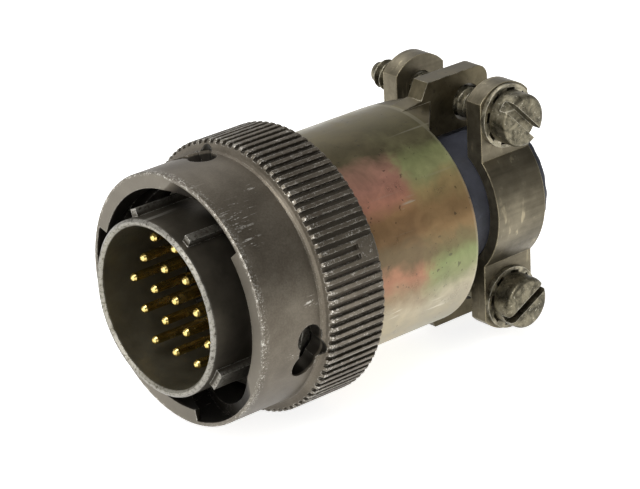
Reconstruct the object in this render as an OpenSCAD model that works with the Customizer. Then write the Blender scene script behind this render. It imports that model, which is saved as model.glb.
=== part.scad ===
// Bayonet aviation plug, straight, with a saddle cable clamp. Millimetres.
// X runs along the connector from the mouth (x = 0) to the cable end, Z is up, and the clamp
// screws run along Y. The origin is on the axis at the mouth of the barrel.

/* [Shell] */
// Outer diameter of the barrel
barrel_d = 19.28; // [14:0.02:30]
// Wall of the barrel
barrel_wall = 0.76; // [0.5:0.02:2]
// Height of the polarising keys above the barrel
key_h = 0.86; // [0.3:0.02:2]
// Depth from the mouth to the insert face
mouth_depth = 12.3; // [6:0.1:20]
// Distance from the mouth to the front of the shell's flange
flange_x = 10.2; // [8:0.1:16]
// Diameter of the journal that the coupling ring turns on
journal_d = 21.9; // [20:0.1:30]

/* [Coupling ring] */
// Distance that the ring's front face sits behind the mouth
ring_x = 3.0; // [1:0.1:6]
// Radial gap between the journal and the ring's lips
lip_gap = 1.15; // [0.9:0.05:2]
// Depth of the bayonet tracks between the lips
track_depth = 1.25; // [0.6:0.05:2]
// Wall of the ring's nose outside the tracks
nose_wall = 0.45; // [0.3:0.05:2]
// Height of the knurl above the nose
knurl_h = 1.2; // [0.8:0.1:3]
// Length of the whole ring
ring_len = 15.7; // [12:0.1:24]
// Length of the knurled band
knurl_len = 7.5; // [4:0.1:12]
// Number of ridges round the knurl
ridges = 92; // [30:1:120]
// Depth of a knurl groove
groove_depth = 0.4; // [0.1:0.01:0.8]
// Share of each ridge's spacing that the groove takes
groove_share = 0.56; // [0.2:0.01:0.8]
// Width of a bayonet track along the axis, where it meets its slot
track_w = 2.35; // [1.5:0.05:4]
// Diameter of the holes that form a detent slot
slot_d = 3.1; // [2:0.1:5]

/* [Contacts] */
// Distance between neighbouring contacts
pitch = 3.48; // [2.5:0.01:5]
// Diameter of the pin part of a contact
pin_d = 0.98; // [0.6:0.01:2]
// Diameter of the contact's body inside the insert
contact_d = 1.7; // [1:0.01:3]
// Distance that the pin tips sit behind the mouth
tip_x = 2.5; // [0.5:0.1:6]
// Length of a whole contact
contact_len = 24.5; // [15:0.5:35]

/* [Backshell] */
// Wall of the tube outside its thread
thread_wall = 1.37; // [0.8:0.01:3]
// Distance from the mouth to the rear end of the tube
tube_end = 34.7; // [28:0.1:60]
// Wall of the tube behind the thread
tube_wall = 1.2; // [0.8:0.1:3]
// Thickness of the two ears
ear_t = 2.2; // [1.5:0.1:4]
// Distance from a clamp screw to the outer edge of its ear
ear_edge = 3.75; // [2.5:0.05:6]
// Gap between the ears and the rubber sleeve
ear_gap = 0.35; // [0.1:0.05:1]

/* [Cable clamp] */
// Distance from the tube's end to the clamp screws
screw_back = 9.2; // [8:0.1:20]
// Distance from the rubber sleeve to the middle of a clamp screw
screw_side = 3.15; // [2.5:0.05:6]
// Diameter of the clamp screws
screw_d = 3.5; // [2.5:0.1:5]
// Play of a clamp screw in the hole through its ear
ear_play = 0.64; // [0.1:0.02:2]
// Width of a clamp bar
bar_w = 7.1; // [5:0.1:12]
// Thickness of a clamp bar's flat ends
bar_t = 2.2; // [1.5:0.1:4]
// Distance from a clamp screw to the end of its bar
bar_edge = 3.7; // [2.5:0.05:6]
// Wall of the saddle
saddle_wall = 1.4; // [1:0.1:3]
// Distance that the near bar's flat ends reach in from the sleeve's surface
near_in = 2.8; // [1:0.1:4]
// Extra distance of the far bar, which is not drawn tight
far_slack = 1.5; // [0:0.1:2.3]
// Length of a clamp screw below its head
screw_len = 20.9; // [14:0.1:30]
// Diameter of a screw head
head_d = 5.88; // [4:0.02:9]
// Height of a screw head
head_h = 2.6; // [1:0.1:4]
// Depth of the slot in a screw head
slot_depth = 1.3; // [0.5:0.1:2]
// Diameter of a lock washer
washer_d = 7.14; // [5:0.02:12]
// Thickness of a lock washer
washer_t = 0.56; // [0.3:0.02:1.5]

/* [Gland] */
// Outer diameter of the rubber sleeve
gland_d = 15.2; // [10:0.1:20]
// Bore of the rubber sleeve, for the cable
cable_d = 9.5; // [5:0.1:14]
// Distance that the sleeve reaches behind the clamp bars
gland_tail = 2.2; // [0:0.1:6]
// Gap between the sleeve's flange and the backshell's bore
flange_gap = 0.82; // [0.1:0.02:2]

/* [Clearances] */
// Radial running clearance of the ring on its journal
run_fit = 0.06; // [0.02:0.01:0.2]
// Radial clearance of screwed and pushed-in parts
seat_fit = 0.05; // [0.01:0.01:0.2]

/* [Hidden] */
$fn = 96;
eps = 0.01;
barrel_r = barrel_d / 2;
bore_r = barrel_r - barrel_wall;
journal_r = journal_d / 2;
lip_r = journal_r + lip_gap;
track_r = lip_r + track_depth;
nose_r = track_r + nose_wall;
knurl_r = nose_r + knurl_h;
tube_r = journal_r + thread_wall;
ring_end = ring_x + ring_len;
knurl_x = ring_end - knurl_len;
// stack on the journal: flange, wave spring, web of the ring, thrust washer, retaining ring
flange_r = journal_r + 0.75;
flange_t = 1.1;
spring_x = flange_x + flange_t;
spring_len = 1.7;
web_x = spring_x + spring_len;
web_t = 1.9;
thrust_x = web_x + web_t + 0.05;
thrust_t = 0.5;
clip_x = thrust_x + thrust_t;
clip_t = 0.9;
clip_depth = 0.6;
clip_r = journal_r + 0.9;
rear_bore_r = tube_r + 0.85;
thread_x = clip_x + clip_t + 0.6;
thread_len = 7.2;
thread_end = thread_x + thread_len;
// insert stack in the shell's bore
face_t = 1.2;
insert_len = 7.3;
grommet_len = 4.6;
ferrule_len = 1.1;
body_x = mouth_depth + face_t;
grommet_x = body_x + insert_len;
ferrule_x = grommet_x + grommet_len;
contact_end = tip_x + contact_len;
pin_step = 0.2;
cup_depth = 4;
cup_wall = 0.3;
// polarising keys: the main key, then the others measured from it
main_key = 214.5;
main_key_w = 2.35;
key_w = 0.9;
other_keys = [105, 140, 215, 265];
key_x = 1.0;
// lips of the ring: where each starts, and the slots between their tracks
lip_start = [20, 140, 260];
slot_at = [195.5, 315.5, 75.5];
// the ridge that runs into the plain pad, and the pad's length
pad_at = 158.56;
pad_len = 2.4;
// rear wall of a track, as [angle from its lip's start less 2, depth behind the front face]
track_rear = [[-70, -0.65], [-31, 1.3], [-15, 2.1], [-4.7, 2.75], [4.7, 3.5], [54, 7.45]];
track_end = track_rear[5];
// hexagonal contact pattern, turned to its angle on the shell
grid_turn = 4.6;
hex_at = [for (q = [-2:2], p = [-2:2]) if (abs(p + q) <= 2)
    [pitch * (p + q / 2), pitch * q * sqrt(3) / 2]];
function turned(v, a) = [v[0] * cos(a) - v[1] * sin(a), v[0] * sin(a) + v[1] * cos(a)];
pin_at = [for (v = hex_at) turned(v, grid_turn)];
// clamp: distance in from the sleeve's side at which a saddle meets its bar
saddle_in = 1.37;
sleeve_r = gland_d / 2;
gland_flange_r = tube_r - tube_wall - flange_gap;
screw_x = tube_end + screw_back;
screw_z = sleeve_r + screw_side;
ear_z = screw_z + ear_edge;
ear_in = sleeve_r + ear_gap;
bar_end = screw_z + bar_edge;
near_y = sleeve_r - near_in;
far_y = near_y + far_slack;
bar_x0 = screw_x - bar_w / 2;
bar_x1 = screw_x + bar_w / 2;
end_r = 4.65;
saddle_z = sleeve_r - saddle_in;
near_cy = -(near_y - sqrt(pow(sleeve_r, 2) - pow(saddle_z, 2)));
gland_y = near_cy;
far_cy = far_y - sqrt(pow(sleeve_r, 2) - pow(saddle_z, 2));
near_out = near_y + bar_t;
head_y = -(near_out + washer_t);
ear_x1 = screw_x + 3.2;
ear_x0 = tube_end + 2.5;
gland_end = bar_x1 + gland_tail;
gusset = 3.8;

// a solid of revolution about X, from [x, r] points
module turn(points) {
    rotate([0, 90, 0]) rotate([0, 0, 180])
        rotate_extrude() polygon([for (p = points) [p[1], p[0]]]);
}

// a ring about X from x = a to x = b
module tube_x(a, b, ro, ri) {
    translate([a, 0, 0]) rotate([0, 90, 0]) difference() {
        cylinder(h = b - a, r = ro);
        translate([0, 0, -1]) cylinder(h = b - a + 2, r = ri);
    }
}

// a rod about X from x = a to x = b, at (y, z)
module rod_x(a, b, r, y = 0, z = 0) {
    translate([a, y, z]) rotate([0, 90, 0]) cylinder(h = b - a, r = r);
}

// one polarising key, a sector of the ring that stands on the barrel
module key_bar(a, w) {
    intersection() {
        tube_x(key_x, flange_x + eps, barrel_r + key_h, barrel_r - 0.3);
        rotate([a, 0, 0]) translate([0, 0, -w / 2]) cube([flange_x + 1, 20, w]);
    }
}

module plug_shell() {
    color([0.42, 0.39, 0.33]) difference() {
        union() {
            turn([[0, bore_r + 0.25], [0, barrel_r - 0.25], [0.25, barrel_r], [flange_x, barrel_r],
                [flange_x, flange_r], [spring_x, flange_r], [spring_x, journal_r],
                [clip_x, journal_r], [clip_x, journal_r - clip_depth],
                [clip_x + clip_t, journal_r - clip_depth], [clip_x + clip_t, journal_r],
                [thread_x, journal_r], [thread_end - 0.4, journal_r], [thread_end, journal_r - 0.4],
                [thread_end, bore_r + 0.35], [mouth_depth - 1, bore_r], [0.25, bore_r]]);
            key_bar(main_key, main_key_w);
            for (k = other_keys) key_bar(main_key + k, key_w);
        }
        rod_x(mouth_depth - 1, thread_end + 1, bore_r + 0.35);
    }
}

// one bayonet track, open at the front before its lip and running back behind the lip to the slot,
// drawn flat (x along the axis, y round the ring) and cut to the track's floor
module track(a) {
    rear = [for (p = track_rear) [ring_x + p[1], -lip_r * sin(p[0])]];
    front = [[ring_x + track_end[1] - track_w, -lip_r * sin(track_end[0])],
        [ring_x + 0.6, -lip_r * sin(3.1)], [ring_x - 0.65, -lip_r * sin(3.1)]];
    intersection() {
        rod_x(ring_x - 1, web_x - 0.5, track_r);
        rotate([a - 92, 0, 0]) linear_extrude(nose_r) polygon(concat(rear, front));
    }
}

// a detent slot: three overlapping round holes through the nose wall
module slot_holes(a) {
    for (s = [[-6.8, 6.25], [0, 6.58], [6.8, 6]])
        rotate([a + s[0], 0, 0]) translate([ring_x + s[1], 0, 0]) rotate([-90, 0, 0])
            translate([0, 0, lip_r - 1]) cylinder(h = 6, r = slot_d / 2);
}

module coupling_ring() {
    color([0.36, 0.33, 0.29]) difference() {
        turn([[ring_x, lip_r], [ring_x, nose_r - 0.1], [ring_x + 0.1, nose_r],
            [knurl_x - 0.55, nose_r], [knurl_x - 0.33, nose_r + 0.13], [knurl_x - 0.15, nose_r + 0.42],
            [knurl_x, knurl_r - 0.28], [knurl_x + 0.25, knurl_r],
            [ring_end - 0.3, knurl_r], [ring_end, knurl_r - 0.28],
            [ring_end, rear_bore_r], [web_x + web_t, rear_bore_r],
            [web_x + web_t, journal_r + run_fit], [web_x, journal_r + run_fit],
            [web_x, lip_r]]);
        for (a = slot_at) slot_holes(a);
        for (a = lip_start) track(a);
        knurl_grooves();
    }
}

// straight grooves between the ridges: the two beside the pad's ridge end where the pad starts
module knurl_grooves() {
    w = groove_share * 2 * PI * knurl_r / ridges;
    for (i = [0:ridges - 1]) {
        l = (i == 0 || i == ridges - 1) ? knurl_len - pad_len : knurl_len + 1;
        rotate([pad_at + (i + 0.5) * 360 / ridges, 0, 0])
            translate([knurl_x - 1, knurl_r - groove_depth, -w / 2]) cube([l + 1, 1, w]);
    }
}

module wave_spring() {
    color([0.55, 0.54, 0.5])
        tube_x(spring_x + 0.02, web_x - 0.02, flange_r + 0.05, journal_r + 0.1);
}

module thrust_washer() {
    color([0.5, 0.48, 0.42]) tube_x(thrust_x, thrust_x + thrust_t - 0.02, clip_r + 0.4, journal_r + run_fit);
}

module retaining_ring() {
    color([0.4, 0.4, 0.4]) difference() {
        tube_x(clip_x + 0.02, clip_x + clip_t - 0.02, clip_r, journal_r - clip_depth + seat_fit);
        translate([clip_x - 1, 0, -1.6]) cube([clip_t + 2, 20, 3.2]);
    }
}

// holes for every contact, over a length
module contact_holes(a, b, r) {
    for (p = pin_at) rod_x(a, b, r, p[0], p[1]);
}

module insert_face() {
    color([0.13, 0.14, 0.17]) difference() {
        rod_x(mouth_depth, body_x - 0.01, bore_r + 0.35 - seat_fit);
        contact_holes(mouth_depth - 1, body_x + 1, pin_d / 2 + pin_step + seat_fit);
    }
}

module insert_body() {
    color([0.12, 0.12, 0.13]) difference() {
        rod_x(body_x, grommet_x - 0.01, bore_r + 0.35 - seat_fit);
        contact_holes(body_x - 1, grommet_x + 1, contact_d / 2 + seat_fit);
    }
}

module rear_grommet() {
    color([0.3, 0.3, 0.35]) difference() {
        rod_x(grommet_x, ferrule_x - 0.01, bore_r + 0.35 - seat_fit);
        contact_holes(grommet_x - 1, ferrule_x + 1, contact_d / 2 + seat_fit);
    }
}

module grommet_ferrule() {
    color([0.55, 0.5, 0.38])
        tube_x(ferrule_x, ferrule_x + ferrule_len, tube_r - tube_wall - seat_fit, bore_r - 0.85);
}

// one contact: round tip, pin, collar and body, wire cup at the rear
module contact(i) {
    p = pin_at[i];
    color([0.72, 0.56, 0.24]) translate([0, p[0], p[1]]) difference() {
        turn([[tip_x, 0], [tip_x + 0.04, pin_d * 0.2], [tip_x + 0.16, pin_d * 0.36],
            [tip_x + 0.42, pin_d / 2], [mouth_depth, pin_d / 2], [mouth_depth, pin_d / 2 + pin_step],
            [body_x, pin_d / 2 + pin_step], [body_x, contact_d / 2],
            [contact_end, contact_d / 2], [contact_end, 0]]);
        rod_x(contact_end - cup_depth, contact_end + 1, contact_d / 2 - cup_wall);
    }
}

// ear plate and its root, for the top; the bottom one is its turn about X
module ear() {
    difference() {
        union() {
            translate([0, ear_t / 2, 0]) rotate([90, 0, 0]) linear_extrude(ear_t)
                difference() {
                    union() {
                        polygon([[tube_end - 3, ear_in], [ear_x1, ear_in], [ear_x1, ear_z - 1.6],
                            [ear_x1 - 1.6, ear_z], [ear_x0 + 1, ear_z], [ear_x0, tube_r + 0.35],
                            [tube_end - 3, tube_r - 0.4]]);
                        translate([ear_x1 - 1.6, ear_z - 1.6]) circle(r = 1.6);
                    }
                }
            // gussets that run from the tube's end to the plate
            intersection() {
                tube_x(tube_end - 1, tube_end + gusset + 1, tube_r, tube_r - tube_wall);
                linear_extrude(20) polygon([[tube_end - 0.5, -ear_t / 2 - gusset],
                    [tube_end, -ear_t / 2 - gusset], [tube_end + gusset, -ear_t / 2],
                    [tube_end + gusset, ear_t / 2], [tube_end, ear_t / 2 + gusset],
                    [tube_end - 0.5, ear_t / 2 + gusset]]);
            }
        }
        translate([screw_x, 0, screw_z]) rotate([90, 0, 0])
            cylinder(h = 20, r = (screw_d + ear_play) / 2, center = true);
    }
}

module backshell() {
    color([0.52, 0.49, 0.36]) difference() {
        union() {
            turn([[thread_x + 0.3, journal_r + seat_fit], [thread_x + 0.3, tube_r - 0.3],
                [thread_x + 0.6, tube_r], [tube_end - 0.25, tube_r], [tube_end, tube_r - 0.25],
                [tube_end, tube_r - tube_wall], [thread_end + 0.8, tube_r - tube_wall],
                [thread_end + 0.3, journal_r + seat_fit]]);
            ear();
            rotate([180, 0, 0]) ear();
        }
        // the ears stay out of the tube's bore
        rod_x(thread_x - 2, tube_end - 0.6, tube_r - tube_wall - 0.02);
    }
}

module gland() {
    color([0.32, 0.33, 0.4]) difference() {
        union() {
            rod_x(ferrule_x + ferrule_len + 2.4, tube_end - 1.5, gland_flange_r);
            rod_x(tube_end - 2, gland_end, sleeve_r, gland_y, 0);
        }
        rod_x(ferrule_x, gland_end + 1, cable_d / 2, gland_y, 0);
    }
}

// outline of a clamp bar across the connector, with the saddle centred at cy and flats at fy
module bar_outline(fy, cy) {
    difference() {
        union() {
            translate([fy, -bar_end]) square([bar_t, bar_end * 2]);
            intersection() {
                translate([cy, 0]) circle(r = sleeve_r + saddle_wall);
                translate([fy, -bar_end]) square([20, bar_end * 2]);
            }
        }
        translate([cy, 0]) circle(r = sleeve_r + seat_fit);
    }
}

// a clamp bar on the +Y side
module bar(fy, cy, hole_r) {
    difference() {
        intersection() {
            translate([bar_x0, 0, 0]) rotate([90, 0, 90]) linear_extrude(bar_w) bar_outline(fy, cy);
            union() {
                translate([bar_x0 - 1, 0, -bar_end + 1.65]) cube([bar_w + 2, 30, 2 * (bar_end - 1.65)]);
                for (s = [-1, 1]) translate([screw_x, 0, s * (bar_end - end_r)])
                    rotate([-90, 0, 0]) cylinder(h = 30, r = end_r);
            }
        }
        for (s = [-1, 1]) translate([screw_x, -5, s * screw_z])
            rotate([-90, 0, 0]) cylinder(h = 30, r = hole_r);
    }
}

module clamp_bar_near() {
    color([0.45, 0.42, 0.35]) mirror([0, 1, 0]) bar(near_y, -near_cy, screw_d / 2 + 0.35);
}

module clamp_bar_far() {
    color([0.45, 0.42, 0.35]) bar(far_y, far_cy, screw_d / 2 + seat_fit);
}

// a screw along +Y with its head's seat at y = 0 and its slot, of width w, turned by a
module screw(a, w) {
    difference() {
        union() {
            rotate([-90, 0, 0]) cylinder(h = screw_len - 0.5, r = screw_d / 2);
            translate([0, screw_len - 0.5, 0]) rotate([-90, 0, 0])
                cylinder(h = 0.5, r1 = screw_d / 2, r2 = screw_d / 2 - 0.45);
            rotate([90, 0, 0]) cylinder(h = head_h - 0.35, r = head_d / 2);
            translate([0, -head_h + 0.35, 0]) rotate([90, 0, 0])
                cylinder(h = 0.35, r1 = head_d / 2, r2 = head_d / 2 - 0.3);
        }
        rotate([0, -a, 0]) translate([-head_d, -head_h - 1, -w / 2]) cube([head_d * 2, slot_depth + 1, w]);
    }
}

module clamp_screw_top() {
    color([0.62, 0.58, 0.45]) translate([screw_x, head_y, screw_z]) screw(-45, 1.25);
}

module clamp_screw_bottom() {
    color([0.62, 0.58, 0.45]) translate([screw_x, head_y, -screw_z]) screw(27, 0.95);
}

// internal-tooth lock washer behind a head
module lock_washer(z) {
    color([0.5, 0.47, 0.38]) translate([screw_x, head_y + 0.01, z]) rotate([-90, 0, 0]) difference() {
        cylinder(h = washer_t - 0.02, r = washer_d / 2);
        translate([0, 0, -1]) cylinder(h = washer_t + 2, r = screw_d / 2 + 0.35);
        for (k = [0:7]) rotate([0, 0, k * 45 + 10])
            translate([0, -0.6, -1]) cube([head_d / 2 + 0.24, 1.2, washer_t + 2]);
    }
}

plug_shell();
coupling_ring();
wave_spring();
thrust_washer();
retaining_ring();
insert_face();
insert_body();
rear_grommet();
grommet_ferrule();
contact(0);  // contact_pin_01
contact(1);  // contact_pin_02
contact(2);  // contact_pin_03
contact(3);  // contact_pin_04
contact(4);  // contact_pin_05
contact(5);  // contact_pin_06
contact(6);  // contact_pin_07
contact(7);  // contact_pin_08
contact(8);  // contact_pin_09
contact(9);  // contact_pin_10
contact(10);  // contact_pin_11
contact(11);  // contact_pin_12
contact(12);  // contact_pin_13
contact(13);  // contact_pin_14
contact(14);  // contact_pin_15
contact(15);  // contact_pin_16
contact(16);  // contact_pin_17
contact(17);  // contact_pin_18
contact(18);  // contact_pin_19
backshell();
gland();
clamp_bar_near();
clamp_bar_far();
clamp_screw_top();
clamp_screw_bottom();
lock_washer(screw_z);  // lock_washer_top
lock_washer(-screw_z);  // lock_washer_bottom
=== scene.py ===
import math
import bmesh
import bpy
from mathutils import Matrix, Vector, noise


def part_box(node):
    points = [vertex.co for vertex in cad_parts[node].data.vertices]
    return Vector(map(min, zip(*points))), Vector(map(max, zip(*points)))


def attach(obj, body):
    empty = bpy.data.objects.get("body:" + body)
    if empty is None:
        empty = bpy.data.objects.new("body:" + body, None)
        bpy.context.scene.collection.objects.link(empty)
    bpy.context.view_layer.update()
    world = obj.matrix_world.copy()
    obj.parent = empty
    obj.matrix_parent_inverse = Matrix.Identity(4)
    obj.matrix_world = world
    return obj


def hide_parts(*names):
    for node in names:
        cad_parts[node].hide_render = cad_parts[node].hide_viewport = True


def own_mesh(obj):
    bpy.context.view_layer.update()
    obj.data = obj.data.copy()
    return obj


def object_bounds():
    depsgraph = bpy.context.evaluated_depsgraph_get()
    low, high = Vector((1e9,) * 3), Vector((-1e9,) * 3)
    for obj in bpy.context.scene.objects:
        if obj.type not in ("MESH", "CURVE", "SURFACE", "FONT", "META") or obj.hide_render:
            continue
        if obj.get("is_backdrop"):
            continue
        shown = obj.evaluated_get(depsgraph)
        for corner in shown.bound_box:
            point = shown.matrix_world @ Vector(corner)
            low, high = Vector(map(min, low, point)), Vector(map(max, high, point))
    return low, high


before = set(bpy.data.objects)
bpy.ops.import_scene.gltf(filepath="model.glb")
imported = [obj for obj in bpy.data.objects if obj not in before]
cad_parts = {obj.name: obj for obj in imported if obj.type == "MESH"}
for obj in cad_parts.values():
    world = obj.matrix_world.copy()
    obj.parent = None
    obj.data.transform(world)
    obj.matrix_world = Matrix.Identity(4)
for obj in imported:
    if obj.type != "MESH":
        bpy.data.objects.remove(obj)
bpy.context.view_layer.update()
scene = bpy.context.scene
scene.view_settings.view_transform = "Standard"
MM = 0.001

# sizes that the pieces and materials share with the CAD, in millimetres
RING_FRONT = 3.0
KNURL_FRONT = 11.2
NOSE_R = 13.8
TUBE_R = 12.32
TUBE_END = 34.7
SLEEVE_R = 7.6
SLEEVE_Y = -0.447
CABLE_R = 4.75
PITCH = 3.48
GRID_TURN = 4.6
# places on the skin are given by a "fit" angle, which is the angle from +Y plus this
FIT_ZERO = 34.5
DETENT_FITS = (230, 350, 110)
JOURNAL_R = 10.95

# light: the room's level on matt surfaces, its bright and dim sides in reflections, and the floor
ROOM_LEVEL = 0.42
MIRROR_BRIGHT = 0.62
MIRROR_DIM = 0.24
DIM_SIDE = (0.45, -0.75, 0.48)
FLOOR_LEVEL = 0.8
FLOOR_GAP = 0.4
LAMP_AIM = (0.02, 0, 0)
BEVEL_SAMPLES = 4
SHARP_ANGLE = 35


# ---------------------------------------------------------------- camera, floor, lights

def place_camera():
    """A long lens in front of the mouth, to its left and above it, tipped a little to one side."""
    here = Vector((-0.1746, -0.2327, 0.1305))
    aim = Vector((0.0200, -0.0033, 0.0019))
    look = (aim - here).normalized()
    right = look.cross(Vector((0, 0, 1))).normalized()
    up = right.cross(look)
    roll = math.radians(2.74)
    up_rolled = up * math.cos(roll) + right * math.sin(roll)
    right_rolled = right * math.cos(roll) - up * math.sin(roll)
    cam = bpy.data.cameras.new("view_camera")
    cam.lens = 174.2
    cam.sensor_width = 36
    cam.clip_start = 0.01
    ob = bpy.data.objects.new("view_camera", cam)
    m = ob.matrix_world.copy()
    for col, v in enumerate((right_rolled, up_rolled, -look, here)):
        for row in range(3):
            m[row][col] = v[row]
    ob.matrix_world = m
    scene.collection.objects.link(ob)
    scene.camera = ob


def area_lamp(name, pos, size, power):
    """A square white lamp that points at the middle of the ring."""
    la = bpy.data.lights.new(name, "AREA")
    la.energy = power
    la.size = size
    ob = bpy.data.objects.new(name, la)
    ob.location = pos
    ob.rotation_euler = (Vector(LAMP_AIM) - Vector(pos)).to_track_quat("-Z", "Y").to_euler()
    scene.collection.objects.link(ob)


class Nodes:
    """Short helpers that build one material's (or the world's) node tree."""

    def __init__(self, name, world=False):
        if world:
            self.mat = bpy.data.worlds.new(name)
        else:
            self.mat = bpy.data.materials.new(name)
        self.mat.use_nodes = True
        self.tree = self.mat.node_tree
        self.tree.nodes.clear()
        self.out = self.node("ShaderNodeOutputWorld" if world else "ShaderNodeOutputMaterial")
        self._coord = None
        self._parts = None

    def node(self, kind, **settings):
        made = self.tree.nodes.new(kind)
        for key, value in settings.items():
            setattr(made, key, value)
        return made

    def put(self, socket, value):
        if isinstance(value, bpy.types.NodeSocket):
            self.tree.links.new(value, socket)
        elif value is not None:
            if socket.type == "RGBA" and len(value) == 3:
                value = (*value, 1)
            socket.default_value = value

    def coord(self):
        if self._coord is None:
            self._coord = self.node("ShaderNodeTexCoord").outputs["Object"]
        return self._coord

    def mapped(self, scale=(1, 1, 1), rot=(0, 0, 0)):
        m = self.node("ShaderNodeMapping")
        self.put(m.inputs["Vector"], self.coord())
        m.inputs["Scale"].default_value = scale
        m.inputs["Rotation"].default_value = rot
        return m.outputs["Vector"]

    def noise(self, scale, detail=4, rough=0.6, vector=None, dist=0.0):
        m = self.node("ShaderNodeTexNoise")
        self.put(m.inputs["Vector"], vector if vector is not None else self.coord())
        m.inputs["Scale"].default_value = scale
        m.inputs["Detail"].default_value = detail
        m.inputs["Roughness"].default_value = rough
        m.inputs["Distortion"].default_value = dist
        return m.outputs["Fac"]

    def math(self, op, a, b=None):
        m = self.node("ShaderNodeMath", operation=op)
        self.put(m.inputs[0], a)
        self.put(m.inputs[1], b)
        return m.outputs[0]

    def vmath(self, op, a, b, out="Vector"):
        m = self.node("ShaderNodeVectorMath", operation=op)
        self.put(m.inputs[0], a)
        self.put(m.inputs[1], b)
        return m.outputs[out]

    def ramp(self, fac, stops):
        """A straight colour ramp. Each stop is (position from 0 to 1, colour)."""
        m = self.node("ShaderNodeValToRGB")
        el = m.color_ramp.elements
        while len(el) < len(stops):
            el.new(1.0)
        for e, (p, c) in zip(el, stops):
            e.position = p
            e.color = (*c, 1)
        self.put(m.inputs["Fac"], fac)
        return m.outputs["Color"]

    def range(self, v, a, b, lo=0.0, hi=1.0, smooth=False):
        m = self.node("ShaderNodeMapRange")
        m.clamp = True
        if smooth:
            m.interpolation_type = "SMOOTHSTEP"
        for k, x in zip(("Value", "From Min", "From Max", "To Min", "To Max"), (v, a, b, lo, hi)):
            self.put(m.inputs[k], x)
        return m.outputs["Result"]

    def mix(self, fac, a, b, mode="MIX"):
        m = self.node("ShaderNodeMix", data_type="RGBA", blend_type=mode)
        self.put(m.inputs["Factor"], fac)
        self.put(m.inputs[6], a)
        self.put(m.inputs[7], b)
        return m.outputs[2]

    def times(self, *v):
        out = v[0]
        for x in v[1:]:
            out = self.math("MULTIPLY", out, x)
        return out

    def most(self, *v):
        out = v[0]
        for x in v[1:]:
            out = self.math("MAXIMUM", out, x)
        return out

    def place(self):
        """x and the distance from the axis, in millimetres, and the fit angle, in turns from 0 to 1."""
        if self._parts is None:
            s = self.node("ShaderNodeSeparateXYZ")
            self.put(s.inputs[0], self.coord())
            x = self.times(s.outputs[0], 1000.0)
            yy = self.times(s.outputs[1], s.outputs[1])
            zz = self.times(s.outputs[2], s.outputs[2])
            r = self.times(self.math("SQRT", self.math("ADD", yy, zz)), 1000.0)
            a = self.math("ARCTAN2", s.outputs[2], s.outputs[1])
            a = self.math("ADD", self.math("DIVIDE", a, 2 * math.pi), 1 + FIT_ZERO / 360)
            self._parts = x, r, self.math("FRACT", a)
        return self._parts

    def band(self, v, a, b, soft):
        """1 where v is between a and b, with edges that are soft wide."""
        return self.times(self.range(v, a - soft, a), self.range(v, b, b + soft, 1.0, 0.0))

    def spot(self, x, fit, r, size, long=1.0, soft=0.6):
        """1 near the point at x and at angle fit on radius r, 0 beyond size mm. long stretches it in x."""
        a = math.radians(fit - FIT_ZERO)
        at = Vector((x, r * math.cos(a), r * math.sin(a))) * MM
        d = self.vmath("SUBTRACT", self.coord(), tuple(at))
        k = 1 / (size * MM)
        d = self.vmath("MULTIPLY", d, (k / long, k, k))
        d = self.vmath("LENGTH", d, (0, 0, 0), out="Value")
        return self.range(d, 1 - soft, 1.0, 1.0, 0.0, smooth=True)

    def scratches(self, scale, turn, thin=0.72, stretch=0.1):
        """Thin lines: the peaks above thin of a noise that is drawn out and turned."""
        v = self.mapped(scale=(stretch, 1.0, 1.0), rot=turn)
        return self.range(self.noise(scale, 2, 0.5, vector=v), thin, thin + 0.05)

    def edges(self, radius):
        """White near sharp edges: how far a rounded normal leaves the true one."""
        b = self.node("ShaderNodeBevel", samples=BEVEL_SAMPLES)
        b.inputs["Radius"].default_value = radius
        g = self.node("ShaderNodeNewGeometry")
        d = self.vmath("DOT_PRODUCT", b.outputs[0], g.outputs["Normal"], out="Value")
        return self.range(self.math("SUBTRACT", 1.0, d), 0.01, 0.16)

    def shade(self, colour, rough, metal, bump, strength, dist, round_edges, spec=0.5):
        """The shader, with a bump of dist millimetres and edges rounded by round_edges millimetres."""
        p = self.node("ShaderNodeBsdfPrincipled")
        self.put(p.inputs["Base Color"], colour)
        self.put(p.inputs["Roughness"], rough)
        p.inputs["Metallic"].default_value = metal
        p.inputs["Specular IOR Level"].default_value = spec
        b = self.node("ShaderNodeBevel", samples=BEVEL_SAMPLES)
        b.inputs["Radius"].default_value = round_edges * MM
        m = self.node("ShaderNodeBump")
        m.inputs["Strength"].default_value = strength
        m.inputs["Distance"].default_value = dist * MM
        self.put(m.inputs["Height"], bump)
        self.put(m.inputs["Normal"], b.outputs[0])
        self.put(p.inputs["Normal"], m.outputs[0])
        self.tree.links.new(p.outputs[0], self.out.inputs["Surface"])
        return self.mat


def set_world():
    """White for the camera and through glass. Reflections see a grey room that is darker round DIM_SIDE."""
    k = Nodes("studio", world=True)
    scene.world = k.mat
    path = k.node("ShaderNodeLightPath").outputs
    clear = k.most(path["Is Camera Ray"], path["Is Transmission Ray"])
    way = k.node("ShaderNodeTexCoord").outputs["Generated"]
    dim_side = tuple(Vector(DIM_SIDE).normalized())
    toward = k.vmath("DOT_PRODUCT", way, dim_side, out="Value")
    mirror = k.range(toward, 0.0, 0.75, MIRROR_BRIGHT, MIRROR_DIM, smooth=True)
    change = k.math("SUBTRACT", mirror, ROOM_LEVEL)
    level = k.math("ADD", ROOM_LEVEL, k.times(path["Is Glossy Ray"], change))
    level = k.math("ADD", level, k.times(clear, k.math("SUBTRACT", 1.0, level)))
    back = k.node("ShaderNodeBackground")
    k.put(back.inputs["Strength"], level)
    back.inputs["Color"].default_value = (1, 1, 1, 1)
    k.tree.links.new(back.outputs[0], k.out.inputs[0])


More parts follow.
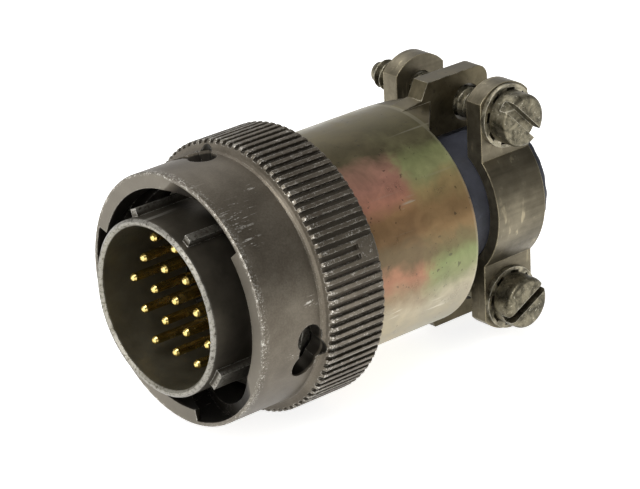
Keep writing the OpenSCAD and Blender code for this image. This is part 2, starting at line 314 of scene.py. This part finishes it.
def set_floor(z, half=3.0):
    """A wide pale floor at height z, which glows for the camera, through glass and in reflections."""
    me = bpy.data.meshes.new("studio_floor")
    corners = [(-half, -half, z), (half, -half, z), (half, half, z), (-half, half, z)]
    me.from_pydata(corners, [], [(0, 1, 2, 3)])
    ob = bpy.data.objects.new("studio_floor", me)
    scene.collection.objects.link(ob)
    k = Nodes("floor_white")
    path = k.node("ShaderNodeLightPath").outputs
    seen = k.most(path["Is Camera Ray"], path["Is Transmission Ray"], path["Is Glossy Ray"])
    paper = k.node("ShaderNodeBsdfDiffuse")
    paper.inputs["Color"].default_value = (FLOOR_LEVEL, FLOOR_LEVEL, 0.79, 1)
    glow = k.node("ShaderNodeEmission")
    k.put(glow.inputs["Strength"], k.times(seen, FLOOR_LEVEL))
    both = k.node("ShaderNodeAddShader")
    k.tree.links.new(paper.outputs[0], both.inputs[0])
    k.tree.links.new(glow.outputs[0], both.inputs[1])
    k.tree.links.new(both.outputs[0], k.out.inputs[0])
    me.materials.append(k.mat)
    ob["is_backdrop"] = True


# ---------------------------------------------------------------- materials

def grey(v):
    """A grey of one level."""
    return (v, v, v)


def scaled(c, f):
    """A colour f times as bright, up to white."""
    return tuple(min(1.0, v * f) for v in c)


def ring_finish():
    """Worn brown-olive plating of the coupling ring."""
    k = Nodes("ring_plating_look")
    x, r, _ = k.place()
    cloud = k.noise(170, 5, 0.62, dist=0.5)
    fine = k.noise(5200, 3, 0.75)
    speck = k.noise(1500, 4, 0.8)
    col = k.ramp(k.math("ADD", k.times(cloud, 0.6), k.times(fine, 0.4)),
                 [(0.36, (0.092, 0.077, 0.057)), (0.5, (0.128, 0.109, 0.083)), (0.66, (0.185, 0.161, 0.125))])
    # darker inside the mouth, on the slots' walls and in the knurl's grooves, as painted shade in these
    # hollows; paler on the front face
    inside = k.times(k.range(r, 13.45, 13.6, 1.0, 0.0), k.range(x, RING_FRONT + 0.05, RING_FRONT + 0.4))
    col = k.mix(k.times(inside, 0.9), col, (0.02, 0.017, 0.013))
    walls = k.most(*[k.spot(px, fit + turn, 14.1, 1.66, soft=0.03)
                     for fit in DETENT_FITS for turn, px in ((0, 9.58), (-6.8, 9.25))])
    walls = k.times(walls, k.range(r, 13.82, 13.86), k.range(x, 11.2, 11.15, 0.0, 1.0))
    col = k.mix(walls, col, (0.02, 0.017, 0.012))
    groove = k.times(k.range(r, 14.62, 14.9, 1.0, 0.0), k.range(x, KNURL_FRONT + 0.1, KNURL_FRONT + 0.5))
    col = k.mix(k.times(groove, 0.6), col, (0.062, 0.053, 0.04))
    face = k.range(x, RING_FRONT + 0.02, RING_FRONT + 0.12, 1.0, 0.0)
    col = k.mix(k.times(face, 0.4), col, (0.2, 0.185, 0.155))
    # bright bare metal: the front edge, the knurl's crests and front edge, and knocks on the nose
    patchy = k.times(k.range(speck, 0.45, 0.58), k.range(fine, 0.38, 0.56))
    edge = k.edges(0.16 * MM)
    grit = k.noise(3800, 3, 0.85)
    rim = k.times(k.range(x, RING_FRONT + 0.15, RING_FRONT + 1.0, 1.0, 0.0), k.range(r, 13.4, 13.6),
                  k.range(k.math("ADD", k.times(grit, 0.75), k.times(cloud, 0.25)), 0.53, 0.6))
    crest = k.times(k.range(r, 14.7, 14.85), k.most(k.band(x, KNURL_FRONT, KNURL_FRONT + 0.9, 0.2),
                                                    k.times(k.range(speck, 0.55, 0.62), 0.8)),
                    k.range(grit, 0.53, 0.6))
    # each rubbed place is its x, fit angle, size and stretch
    rubbed = k.most(*[k.spot(px, fit, NOSE_R, size, long, soft=0.8) for px, fit, size, long in (
        (5.2, 160, 2.6, 1.3), (4.8, 172, 2.0, 1.0), (8.7, 151, 1.2, 0.8),
        (9.6, 206, 1.0, 1.5), (7.7, 228, 0.9, 2.0), (8.9, 96, 1.6, 1.4),
        (6.0, 40, 2.2, 1.2), (7.4, 310, 1.8, 1.6), (5.2, 285, 2.0, 1.0))])
    fibres = k.most(k.scratches(3600, (0.2, 0.5, 0.9), 0.62, 0.08),
                    k.scratches(3200, (1.1, 0.3, 0.2), 0.62, 0.08),
                    k.scratches(4200, (0.6, 1.2, 2.0), 0.63, 0.1))
    knocks = k.times(rubbed, fibres, k.range(speck, 0.46, 0.54))
    scratch = k.most(k.scratches(700, (0.2, 0.5, 0.9), 0.73, 0.05),
                     k.scratches(1000, (1.1, 0.3, 0.2), 0.735, 0.05))
    worn = k.most(k.times(edge, patchy, 0.85), k.times(rim, 0.85), k.times(crest, 0.9),
                  k.times(knocks, 0.85), k.times(scratch, 0.22))
    col = k.mix(worn, col, (0.7, 0.67, 0.6))
    rough = k.math("SUBTRACT", k.range(fine, 0.3, 0.7, 0.38, 0.52), k.times(worn, 0.12))
    high = k.math("SUBTRACT", k.math("ADD", k.times(fine, 0.6), k.times(cloud, 0.4)), k.times(worn, 0.5))
    return k.shade(col, rough, 0.8, high, 0.4, 0.03, round_edges=0.14)


def shell_finish():
    """The keyed barrel: nearly black plating, bare at the mouth's edge and on the keys' corners."""
    k = Nodes("shell_plating_look")
    x, r, _ = k.place()
    cloud = k.noise(240, 4, 0.6)
    fine = k.noise(4600, 3, 0.7)
    speck = k.noise(2600, 3, 0.8)
    col = k.ramp(cloud, [(0.35, (0.05, 0.043, 0.032)), (0.65, (0.09, 0.078, 0.059))])
    # paler olive inside the bore: a painted glow
    bore_painted_glow = k.ramp(cloud, [(0.35, (0.095, 0.085, 0.058)), (0.65, (0.15, 0.135, 0.095))])
    col = k.mix(k.range(r, 9.3, 9.1, 0.0, 1.0), col, bore_painted_glow)
    edge = k.edges(0.15 * MM)
    rim = k.times(k.range(x, 0.12, 0.5, 1.0, 0.0), k.range(speck, 0.36, 0.5))
    keys = k.times(k.range(r, 9.9, 10.2), k.range(x, 1.0, 2.6, 1.0, 0.35), k.range(speck, 0.38, 0.5))
    scratch = k.scratches(900, (0.3, 0.2, 1.2), 0.72, 0.06)
    worn = k.most(k.times(edge, k.range(speck, 0.38, 0.56)), k.times(rim, 0.4), k.times(keys, 0.4),
                  k.times(scratch, 0.3))
    col = k.mix(worn, col, (0.58, 0.56, 0.50))
    rough = k.range(fine, 0.3, 0.7, 0.34, 0.5)
    return k.shade(col, rough, 0.8, k.math("SUBTRACT", fine, k.times(worn, 0.4)), 0.35, 0.02, round_edges=0.1)


def backshell_finish():
    """Yellow passivate on the tube: pink, green and brown bands that drift round it and along it, darker near
    the top as painted shade and paler low down as painted light.
    """
    k = Nodes("backshell_plating_look")
    x, r, a = k.place()
    cloud = k.noise(120, 4, 0.6, dist=0.6)
    mid = k.noise(420, 4, 0.65, dist=0.4)
    fine = k.noise(2600, 3, 0.7)
    drift = k.math("ADD", k.times(k.math("SUBTRACT", cloud, 0.5), 0.07),
                   k.times(k.math("SUBTRACT", mid, 0.5), 0.02))
    turn = k.math("ADD", a, drift)
    # stops by fit angle, on the front half of the tube and on the rear half; the dark stops at fit 138 to
    # 149, near the top, are painted shade and the pale stops at fit 238 to 258, low down, are painted light
    front = [(0, (0.3, 0.24, 0.13)), (40, (0.42, 0.27, 0.16)), (75, (0.3, 0.3, 0.15)),
             (105, (0.2, 0.165, 0.085)), (138, (0.105, 0.087, 0.045)), (149, (0.13, 0.108, 0.058)),
             (157, (0.42, 0.235, 0.165)), (166, (0.62, 0.31, 0.225)), (178, (0.7, 0.33, 0.22)),
             (187, (0.46, 0.27, 0.13)), (199, (0.29, 0.18, 0.09)), (205, (0.17, 0.125, 0.07)),
             (210, (0.15, 0.11, 0.062)), (217, (0.34, 0.17, 0.105)), (226, (0.27, 0.2, 0.12)),
             (238, (0.42, 0.36, 0.25)), (258, (0.38, 0.32, 0.2)), (290, (0.36, 0.27, 0.14)),
             (325, (0.3, 0.3, 0.15)), (359, (0.3, 0.24, 0.13))]
    rear = [(0, (0.28, 0.29, 0.14)), (40, (0.27, 0.22, 0.115)), (75, (0.4, 0.27, 0.16)),
            (105, (0.2, 0.165, 0.085)), (138, (0.105, 0.09, 0.045)), (149, (0.145, 0.13, 0.066)),
            (158, (0.31, 0.33, 0.145)), (170, (0.42, 0.43, 0.2)), (180, (0.5, 0.37, 0.17)),
            (190, (0.42, 0.265, 0.125)), (199, (0.33, 0.21, 0.1)), (205, (0.18, 0.14, 0.07)),
            (210, (0.16, 0.14, 0.068)), (217, (0.21, 0.24, 0.105)), (226, (0.23, 0.24, 0.12)),
            (238, (0.42, 0.37, 0.26)), (258, (0.36, 0.31, 0.2)), (290, (0.28, 0.3, 0.14)),
            (325, (0.4, 0.27, 0.15)), (359, (0.28, 0.29, 0.14))]
    one, two = (k.ramp(turn, [(p / 360, c) for p, c in stops]) for stops in (front, rear))
    ragged_x = k.math("ADD", x, k.times(k.math("SUBTRACT", mid, 0.5), 5.0))
    back = k.range(ragged_x, 26.0, 29.0, smooth=True)
    col = k.mix(back, one, two)
    col = k.mix(0.55, col, k.ramp(mid, [(0.3, grey(0.62)), (0.7, grey(1.25))]), "MULTIPLY")
    # the ears and the inside keep a plainer brown, darker as painted shade
    ears = k.most(k.range(x, TUBE_END + 0.02, TUBE_END + 0.5), k.range(r, TUBE_R + 0.1, TUBE_R + 0.6),
                  k.range(r, 11.4, 11.2, 0.0, 1.0))
    col = k.mix(ears, col, k.ramp(mid, [(0.3, (0.075, 0.062, 0.034)), (0.7, (0.15, 0.125, 0.075))]))
    tube_skin = k.times(k.range(x, TUBE_END - 0.6, TUBE_END - 0.7, 0.0, 1.0),
                        k.range(r, TUBE_R + 0.2, TUBE_R + 0.1, 0.0, 1.0))
    edge = k.times(k.edges(0.16 * MM), k.math("SUBTRACT", 1.0, tube_skin))
    rim = k.times(k.band(x, TUBE_END - 0.45, TUBE_END, 0.12), k.range(r, 12.0, 12.2),
                  k.range(r, 12.5, 12.4, 0.0, 1.0))
    scratch = k.most(k.scratches(800, (0.1, 0.4, 1.0), 0.72, 0.05),
                     k.scratches(1200, (1.3, 0.2, 0.5), 0.73, 0.05))
    near = k.most(*[k.spot(px, fit, TUBE_R, size, long, soft=0.8) for px, fit, size, long in (
        (26.7, 183, 1.3, 1.3), (29.5, 243, 1.5, 1.6), (23.0, 236, 1.2, 1.0),
        (25.2, 60, 1.5, 1.4), (28.0, 320, 1.5, 1.2))])
    marks = k.times(near, k.most(k.scratches(3000, (0.3, 0.8, 0.6), 0.6, 0.1),
                                 k.scratches(2600, (1.0, 0.2, 1.5), 0.6, 0.1)))
    pits = k.range(k.noise(1500, 2, 0.6), 0.29, 0.33, 1.0, 0.0)
    worn = k.most(k.times(edge, k.range(mid, 0.4, 0.6), 0.7), k.times(rim, 0.12), k.times(scratch, 0.15),
                  k.times(marks, 0.6))
    col = k.mix(worn, col, (0.68, 0.63, 0.5))
    col = k.mix(k.times(pits, 0.6), col, (0.06, 0.05, 0.035))
    rough = k.range(mid, 0.3, 0.7, 0.26, 0.4)
    high = k.math("SUBTRACT", k.times(fine, 0.5), k.math("ADD", k.times(scratch, 0.4), pits))
    return k.shade(col, rough, 0.82, high, 0.25, 0.02, round_edges=0.14)


def bar_finish():
    """Brushed saddle bars with golden, rubbed edges."""
    k = Nodes("bar_plating_look")
    cloud = k.noise(260, 4, 0.6)
    fine = k.noise(2200, 3, 0.7)
    lines = k.noise(900, 3, 0.6, vector=k.mapped(scale=(0.06, 1.0, 1.0), rot=(0, 0, 0.1)))
    col = k.ramp(k.math("ADD", k.times(cloud, 0.6), k.times(lines, 0.4)),
                 [(0.36, (0.085, 0.072, 0.046)), (0.5, (0.135, 0.116, 0.078)), (0.66, (0.21, 0.182, 0.124))])
    edge = k.times(k.edges(0.2 * MM), k.range(k.noise(1500, 4, 0.8), 0.32, 0.52))
    drawn = k.noise(2600, 3, 0.7, vector=k.mapped(scale=(0.5, 0.5, 0.07)))
    streak = k.times(k.range(drawn, 0.58, 0.66), k.range(cloud, 0.47, 0.6))
    worn = k.most(k.times(edge, 0.9), k.times(streak, 0.5),
                  k.times(k.scratches(800, (0.5, 0.1, 0.8), 0.72), 0.3))
    col = k.mix(worn, col, (0.5, 0.43, 0.28))
    high = k.math("ADD", k.times(lines, 0.6), k.times(fine, 0.4))
    return k.shade(col, k.range(fine, 0.3, 0.7, 0.34, 0.5), 0.8, high, 0.4, 0.03, round_edges=0.16)


def screw_finish(name, light, dark):
    """Pale plated steel, mottled dark where the plating has gone, bright on the corners."""
    k = Nodes(name)
    cloud = k.noise(900, 4, 0.7, dist=0.4)
    fine = k.noise(5000, 3, 0.7)
    speck = k.noise(3000, 3, 0.8)
    col = k.ramp(cloud, [(0.38, dark), (0.5, scaled(light, 0.62)), (0.62, light)])
    worn = k.most(k.times(k.edges(0.14 * MM), k.range(speck, 0.36, 0.52), 0.9),
                  k.times(k.range(speck, 0.62, 0.7), 0.7),
                  k.times(k.scratches(1300, (0.9, 0.4, 0.1), 0.7), 0.4))
    col = k.mix(worn, col, (0.66, 0.62, 0.5))
    rough = k.math("SUBTRACT", k.range(fine, 0.3, 0.7, 0.32, 0.5), k.times(worn, 0.1))
    high = k.math("SUBTRACT", fine, k.times(worn, 0.3))
    return k.shade(col, rough, 0.85, high, 0.4, 0.02, round_edges=0.08)


def gold_finish():
    """Bright gold on the contacts, with faint drawing lines along them."""
    k = Nodes("contact_gold_look")
    soft = k.noise(900, 3, 0.6)
    lines = k.noise(2400, 2, 0.6, vector=k.mapped(scale=(1.0, 0.08, 0.08)))
    col = k.ramp(soft, [(0.3, (0.66, 0.50, 0.16)), (0.7, (0.88, 0.69, 0.27))])
    # paler gold on the edges and tips: a painted highlight
    col = k.mix(k.times(k.edges(0.06 * MM), 0.5), col, (0.95, 0.80, 0.42))
    return k.shade(col, k.range(soft, 0.3, 0.7, 0.18, 0.3), 1.0, lines, 0.15, 0.01, round_edges=0.05)


def rubber_finish(name, dark, light, rough=0.5, grain=900):
    """Moulded rubber: faint mottling, fine grain, pale dusty rubbed edges."""
    k = Nodes(name)
    cloud = k.noise(300, 4, 0.6)
    fine = k.noise(grain * 3, 3, 0.7)
    col = k.ramp(cloud, [(0.35, dark), (0.65, light)])
    dust = k.times(k.range(k.noise(grain, 3, 0.7), 0.58, 0.7), 0.25)
    rubbed = k.most(k.times(k.edges(0.2 * MM), 0.3), dust)
    col = k.mix(rubbed, col, scaled(light, 2.2))
    grained = k.range(fine, 0.3, 0.7, rough - 0.06, rough + 0.12)
    return k.shade(col, grained, 0.0, fine, 0.4, 0.04, round_edges=0.1, spec=0.45)


def steel_finish():
    """Bare spring steel with soft clouding."""
    k = Nodes("spring_steel_look")
    lines = k.noise(1500, 3, 0.6, vector=k.mapped(scale=(1.0, 0.2, 0.2)))
    soft = k.noise(500, 3, 0.6)
    col = k.ramp(soft, [(0.3, (0.3, 0.29, 0.27)), (0.7, (0.48, 0.47, 0.44))])
    # paler steel on the edges: a painted highlight
    col = k.mix(k.times(k.edges(0.1 * MM), 0.6), col, (0.7, 0.69, 0.66))
    return k.shade(col, k.range(soft, 0.3, 0.7, 0.26, 0.4), 1.0, lines, 0.25, 0.02, round_edges=0.06)


# ---------------------------------------------------------------- pieces

def mesh_from(bm, name):
    """The mesh of a bmesh, with its faces turned outwards. The bmesh is freed."""
    bmesh.ops.recalc_face_normals(bm, faces=bm.faces)
    me = bpy.data.meshes.new(name)
    bm.to_mesh(me)
    bm.free()
    return me


def new_piece(name, me, mat, body, replaces):
    """A visible piece that stands for a CAD node and rides on its body."""
    ob = bpy.data.objects.new(name, me)
    scene.collection.objects.link(ob)
    me.materials.clear()
    me.materials.append(mat)
    for p in me.polygons:
        p.use_smooth = True
    me.set_sharp_from_angle(angle=math.radians(SHARP_ANGLE))
    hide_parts(replaces)
    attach(ob, body)
    return ob


def lathe(bm, rows, sides, wave=None):
    """A closed skin over rings of vertices. Each row is (along, radius, centre); radius 0 is a point."""
    rings = []
    for i, (x, r, c) in enumerate(rows):
        if r == 0:
            rings.append([bm.verts.new((x, c, 0))])
            continue
        ring = []
        for j in range(sides):
            t = 2 * math.pi * j / sides
            dx, dr = wave(i, t) if wave else (0, 0)
            ring.append(bm.verts.new((x + dx, c + (r + dr) * math.cos(t), (r + dr) * math.sin(t))))
        rings.append(ring)
    for a, b in zip(rings, rings[1:]):
        for j in range(sides):
            corners = [a[j % len(a)], a[(j + 1) % len(a)], b[(j + 1) % len(b)], b[j % len(b)]]
            bm.faces.new([v for n, v in enumerate(corners) if v not in corners[:n]])
    return rings


def thread_rows(start, end, root, crest, pitch, per_pitch=12):
    """Rows for a threaded shank, and the function that puts the helix on them."""
    count = int((end - start) / pitch * per_pitch)
    ys = [start + (end - start) * i / count for i in range(count + 1)]

    def height(y, t):
        f = (y / pitch - t / (2 * math.pi)) % 1.0
        tri = abs(2 * f - 1)
        v = min(1.0, max(0.0, (tri - 0.1) / 0.76))
        fade = min(1.0, max(0.0, (end - 0.1 - y) / 0.7)) * min(1.0, max(0.0, (y - start) / 0.4))
        return (crest - root) * v * fade
    return ys, height


def stand_on_y(bm, cx, cz):
    """Turns a lathed shape's axis from X to Y, through the point (cx, cz), and puts it in metres."""
    for v in bm.verts:
        v.co = Vector((cx + v.co.y, v.co.x, cz + v.co.z)) * MM


def slot_cutter(name, cx, cz, top, head_r, width, depth, turn):
    """A box across a screw's head, to cut its slot with."""
    cut = bmesh.new()
    bmesh.ops.create_cube(cut, size=1)
    a = math.radians(turn)
    for v in cut.verts:
        u, d, w = v.co.x * head_r * 3, v.co.y * depth * 2, v.co.z * width
        x = cx + u * math.cos(a) - w * math.sin(a)
        z = cz + u * math.sin(a) + w * math.cos(a)
        v.co = Vector((x, top + d, z)) * MM
    return mesh_from(cut, name)


def cut_away(me, cutter):
    """The first mesh less the second. Both are removed."""
    obs = [bpy.data.objects.new(m.name, m) for m in (me, cutter)]
    for o in obs:
        scene.collection.objects.link(o)
    mod = obs[0].modifiers.new("slot", "BOOLEAN")
    mod.object, mod.operation, mod.solver = obs[1], "DIFFERENCE", "EXACT"
    bpy.context.view_layer.update()
    left = bpy.data.meshes.new_from_object(obs[0].evaluated_get(bpy.context.evaluated_depsgraph_get()))
    for o, m in zip(obs, (me, cutter)):
        bpy.data.objects.remove(o)
        bpy.data.meshes.remove(m)
    return left


def screw_piece(name, node, body, mat, slot_width, slot_turn):
    """A slotted fillister screw with its thread cut in full."""
    lo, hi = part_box(node)
    cx, cz = (lo[0] + hi[0]) / 2 / MM, (lo[2] + hi[2]) / 2 / MM
    top, tip = lo[1] / MM, hi[1] / MM
    head_r = (hi[0] - lo[0]) / 2 / MM
    head_h, slot_deep = 2.6, 1.3
    root, crest, pitch, sides = 1.26, 1.75, 0.9, 72
    seat = top + head_h
    # the head: flat on top, with a rounded rim
    head = [(top, 0, 0), (top, head_r - 0.5, 0), (top + 0.03, head_r - 0.36, 0),
            (top + 0.1, head_r - 0.22, 0), (top + 0.22, head_r - 0.1, 0), (top + 0.38, head_r - 0.03, 0),
            (top + 0.55, head_r, 0), (seat - 0.12, head_r, 0), (seat, head_r - 0.12, 0),
            (seat, crest + 0.4, 0), (seat, 0, 0)]
    bm = bmesh.new()
    lathe(bm, head, sides)
    stand_on_y(bm, cx, cz)
    cutter_at = (cx, cz, top, head_r, slot_width, slot_deep, slot_turn)
    headed = cut_away(mesh_from(bm, name + "_head"), slot_cutter(name + "_cut", *cutter_at))
    # the shank, which starts a little inside the head
    start, end = seat - 0.3, tip - 0.45
    ys, height = thread_rows(start, end, root, crest, pitch)
    rows = [(start, 0, 0)] + [(y, root, 0) for y in ys]
    rows += [(tip - 0.12, root - 0.1, 0), (tip, root - 0.3, 0), (tip, 0, 0)]
    bm = bmesh.new()
    lathe(bm, rows, sides, lambda i, t: (0, height(rows[i][0], t) if 1 <= i <= len(ys) else 0))
    stand_on_y(bm, cx, cz)
    shank = mesh_from(bm, name + "_shank")
    # both in one mesh
    bm = bmesh.new()
    me = bpy.data.meshes.new(name)
    for part in (headed, shank):
        bm.from_mesh(part)
        bpy.data.meshes.remove(part)
    bm.to_mesh(me)
    bm.free()
    return new_piece(name, me, mat, body, node)


def gland_piece(mat):
    """The rubber sleeve: soft edges, a wavy surface and a roughly cut rear end."""
    lo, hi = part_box("gland")
    x0, x1 = lo[0] / MM, hi[0] / MM
    flange_r = (hi[2] - lo[2]) / 2 / MM
    step = TUBE_END - 1.5
    sides, body = 128, 40
    rows = [(x0 + 0.02, CABLE_R + 0.3, SLEEVE_Y), (x0, CABLE_R + 0.8, SLEEVE_Y * 0.7),
            (x0, flange_r - 0.4, 0),
            (x0 + 0.1, flange_r - 0.1, 0), (x0 + 0.4, flange_r, 0), (step - 0.4, flange_r, 0),
            (step - 0.1, flange_r - 0.1, 0), (step, flange_r - 0.4, 0),
            (step, SLEEVE_R + 0.5, SLEEVE_Y * 0.8),
            (step + 0.15, SLEEVE_R + 0.1, SLEEVE_Y), (step + 0.5, SLEEVE_R, SLEEVE_Y)]
    rows += [(step + 0.5 + (x1 - 1.4 - step) * (i + 1) / body, SLEEVE_R, SLEEVE_Y) for i in range(body)]
    first_end = len(rows)
    rows += [(x1 - 0.5, SLEEVE_R - 0.03, SLEEVE_Y), (x1 - 0.32, SLEEVE_R - 0.14, SLEEVE_Y),
             (x1 - 0.22, SLEEVE_R - 0.35, SLEEVE_Y)]
    rows += [(x1 - 0.22, SLEEVE_R - 0.35 - (SLEEVE_R - CABLE_R - 0.6) * i / 6, SLEEVE_Y) for i in range(1, 7)]
    rows += [(x1 - 0.3, CABLE_R + 0.1, SLEEVE_Y), (x1 - 0.6, CABLE_R, SLEEVE_Y)]
    last_end = len(rows)
    rows += [(x1 - 0.6 - (x1 - x0 - 1.0) * (i + 1) / 24, CABLE_R, SLEEVE_Y) for i in range(24)]

    def wave(i, t):
        at = Vector((math.cos(t), math.sin(t), rows[i][0] * 0.25)) * 2.2
        if first_end <= i < last_end:
            cut = noise.noise(Vector((math.cos(t) * 1.6, math.sin(t) * 1.6, 4.0))) * 0.32
            nick = noise.noise(Vector((math.cos(t) * 9, math.sin(t) * 9, i * 0.7))) * 0.12
            return min(0.2, cut + nick), nick * 0.3 - 0.02
        if first_end - body <= i < first_end:
            return 0, min(0.0, noise.noise(at) * 0.09 - 0.03)
        return 0, 0
    bm = bmesh.new()
    rings = lathe(bm, rows, sides, wave)
    # the last ring, near the front of the bore, is joined to the first
    last, first = rings[-1], rings[0]
    for j in range(sides):
        n = (j + 1) % sides
        bm.faces.new((last[j], last[n], first[n], first[j]))
    for v in bm.verts:
        v.co *= MM
    me = mesh_from(bm, "cable_sleeve")
    return new_piece("cable_sleeve", me, mat, "housing", "gland")


def seal_disc(name, node, mat, hole_r, collar_out, collar_high, to_front):
    """A rubber disc with a hole and a raised collar for every contact."""
    lo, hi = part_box(node)
    face, back = (lo[0], hi[0]) if to_front else (hi[0], lo[0])
    face, back, radius = face / MM, back / MM, (hi[2] - lo[2]) / 2 / MM
    sign = -1 if to_front else 1
    # the collars stay inside the disc's own length, so the flat between them is sunk
    flat = face - sign * collar_high
    a = math.radians(GRID_TURN)
    at = []
    for q in range(-2, 3):
        for p in range(-2, 3):
            if abs(p + q) <= 2:
                u, v = PITCH * (p + q / 2), PITCH * q * math.sqrt(3) / 2
                at.append((u * math.cos(a) - v * math.sin(a), u * math.sin(a) + v * math.cos(a)))
    bm = bmesh.new()
    rim_sides, hole_sides = 96, 24

    def circle(x, r, c, n):
        turns = [2 * math.pi * i / n for i in range(n)]
        return [bm.verts.new((x, c[0] + r * math.cos(t), c[1] + r * math.sin(t))) for t in turns]

    def join(a, b):
        for i in range(len(a)):
            bm.faces.new((a[i], a[(i + 1) % len(a)], b[(i + 1) % len(b)], b[i]))

    def fill(loops):
        edges = []
        for ring in loops:
            for i in range(len(ring)):
                e = bm.edges.get((ring[i], ring[(i + 1) % len(ring)]))
                edges.append(e or bm.edges.new((ring[i], ring[(i + 1) % len(ring)])))
        bmesh.ops.triangle_fill(bm, use_beauty=True, edges=edges)

    outer = [circle(flat, radius - 0.15, (0, 0), rim_sides),
             circle(flat - sign * 0.15, radius, (0, 0), rim_sides),
             circle(back, radius, (0, 0), rim_sides)]
    join(outer[0], outer[1])
    join(outer[1], outer[2])
    front_loops, back_loops = [outer[0]], [outer[2]]
    for c in at:
        rings = [circle(flat, collar_out, c, hole_sides),
                 circle(face - sign * 0.06, collar_out - 0.1, c, hole_sides),
                 circle(face, collar_out - 0.2, c, hole_sides),
                 circle(face, hole_r + 0.08, c, hole_sides),
                 circle(face - sign * 0.1, hole_r, c, hole_sides),
                 circle(back, hole_r, c, hole_sides)]
        for p, q in zip(rings, rings[1:]):
            join(p, q)
        front_loops.append(rings[0])
        back_loops.append(rings[-1])
    fill(front_loops)
    fill(back_loops)
    for v in bm.verts:
        v.co *= MM
    return new_piece(name, mesh_from(bm, name), mat, "housing", node)


def wave_spring_piece(mat):
    """A flat strip bent into waves."""
    lo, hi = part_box("wave_spring")
    x0, x1, outer = lo[0] / MM, hi[0] / MM, hi[2] / MM
    thick, waves, sides = 0.3, 5, 180
    inner = JOURNAL_R + 0.1
    middle, swing = (x0 + x1) / 2, (x1 - x0 - thick) / 2
    bm = bmesh.new()
    rings = []
    for r, side in ((inner, -1), (outer, -1), (outer, 1), (inner, 1)):
        ring = []
        for j in range(sides):
            t = 2 * math.pi * j / sides
            x = middle + swing * math.cos(waves * t) + side * thick / 2
            ring.append(bm.verts.new(Vector((x, r * math.cos(t), r * math.sin(t))) * MM))
        rings.append(ring)
    for a, b in zip(rings, rings[1:] + rings[:1]):
        for j in range(sides):
            n = (j + 1) % sides
            bm.faces.new((a[j], a[n], b[n], b[j]))
    me = mesh_from(bm, "wave_spring_strip")
    ob = new_piece("wave_spring_strip", me, mat, "housing", "wave_spring")
    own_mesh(ob)


def paint(node, mat):
    """Gives a CAD node its finish."""
    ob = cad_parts[node]
    ob.data.materials.clear()
    ob.data.materials.append(mat)


# ---------------------------------------------------------------- the scene

place_camera()
set_world()
set_floor(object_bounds()[0][2] - FLOOR_GAP * MM)
area_lamp("key_left", (-0.30, -0.12, 0.50), 0.35, 2.5)
area_lamp("fill_left", (-0.45, -0.10, 0.10), 0.4, 1.0)
area_lamp("rim_back", (0.12, 0.36, 0.48), 0.35, 0.6)

gold = gold_finish()
steel = steel_finish()
bar = bar_finish()
screw = screw_finish("screw_plating_look", (0.23, 0.205, 0.14), (0.055, 0.048, 0.03))
lock = screw_finish("lock_washer_look", (0.4, 0.36, 0.26), (0.1, 0.088, 0.062))
body_plastic = rubber_finish("insert_plastic_look", (0.02, 0.02, 0.022), (0.035, 0.035, 0.04), 0.45)
backshell = backshell_finish()
LOOKS = {"plug_shell": shell_finish(), "coupling_ring": ring_finish(), "thrust_washer": steel,
         "retaining_ring": steel, "insert_body": body_plastic, "grommet_ferrule": backshell,
         "backshell": backshell, "clamp_bar_near": bar, "clamp_bar_far": bar, "lock_washer_top": lock,
         "lock_washer_bottom": lock}
for node, mat in LOOKS.items():
    paint(node, mat)
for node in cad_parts:
    if node.startswith("contact_pin"):
        paint(node, gold)

sleeve_rubber = rubber_finish("gland_rubber_look", (0.034, 0.036, 0.046), (0.056, 0.059, 0.075))
gland_piece(sleeve_rubber)
wave_spring_piece(steel)
face_rubber = rubber_finish("insert_rubber_look", (0.022, 0.025, 0.034), (0.038, 0.042, 0.056), 0.5, 1400)
seal_disc("contact_seal_face", "insert_face", face_rubber, 0.74, 1.3, 0.25, True)
seal_disc("wire_seal", "rear_grommet", sleeve_rubber, 0.9, 1.5, 0.4, False)
screw_piece("threaded_screw_top", "clamp_screw_top", "screw_top", screw, 1.25, -45)
screw_piece("threaded_screw_bottom", "clamp_screw_bottom", "screw_bottom", screw, 0.95, 27)
